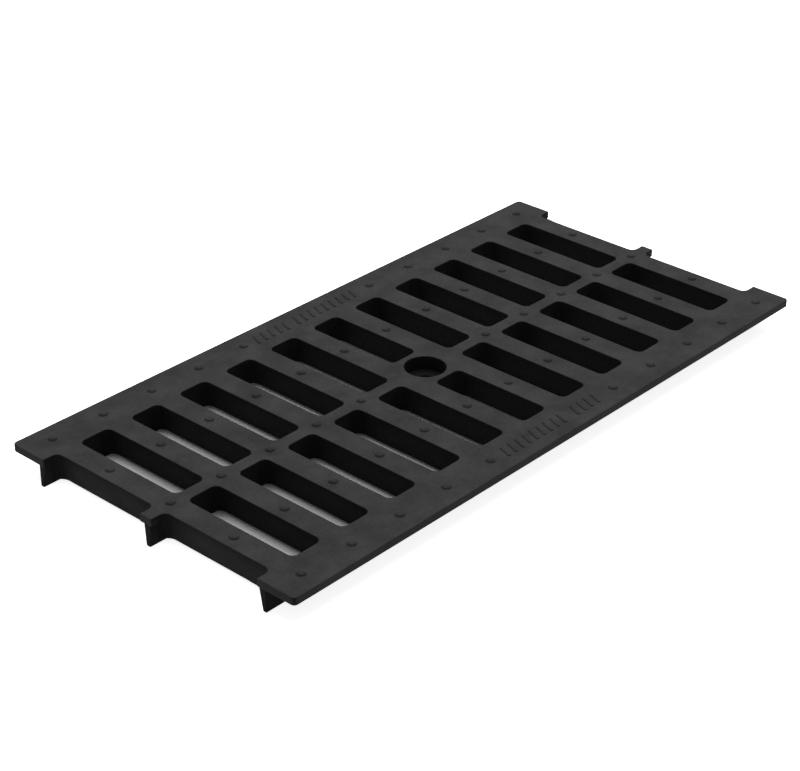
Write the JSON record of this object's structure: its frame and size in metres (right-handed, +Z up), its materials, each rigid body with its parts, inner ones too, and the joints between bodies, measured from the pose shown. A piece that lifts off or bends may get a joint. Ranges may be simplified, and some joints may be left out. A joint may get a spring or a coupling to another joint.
{
  "type": "channel drain grate",
  "caption": "Slotted cast iron grate for a drainage channel, with raised grip studs, flat rims that rest on the channel edges and a recessed centre hole for a locking bolt.",
  "frame": {"origin": "in the plane of the ribs' feet, under the centre of the grate", "axes": "+X along the channel, +Y across it towards the left rim, +Z up out of the walking surface"},
  "size_m": [0.499, 0.248, 0.0232],
  "materials": {
    "cast_iron": "matte black coating over a sand cast surface"
  },
  "bodies": {
    "root": {"grate": "cast_iron"}
  },
  "joints": []
}
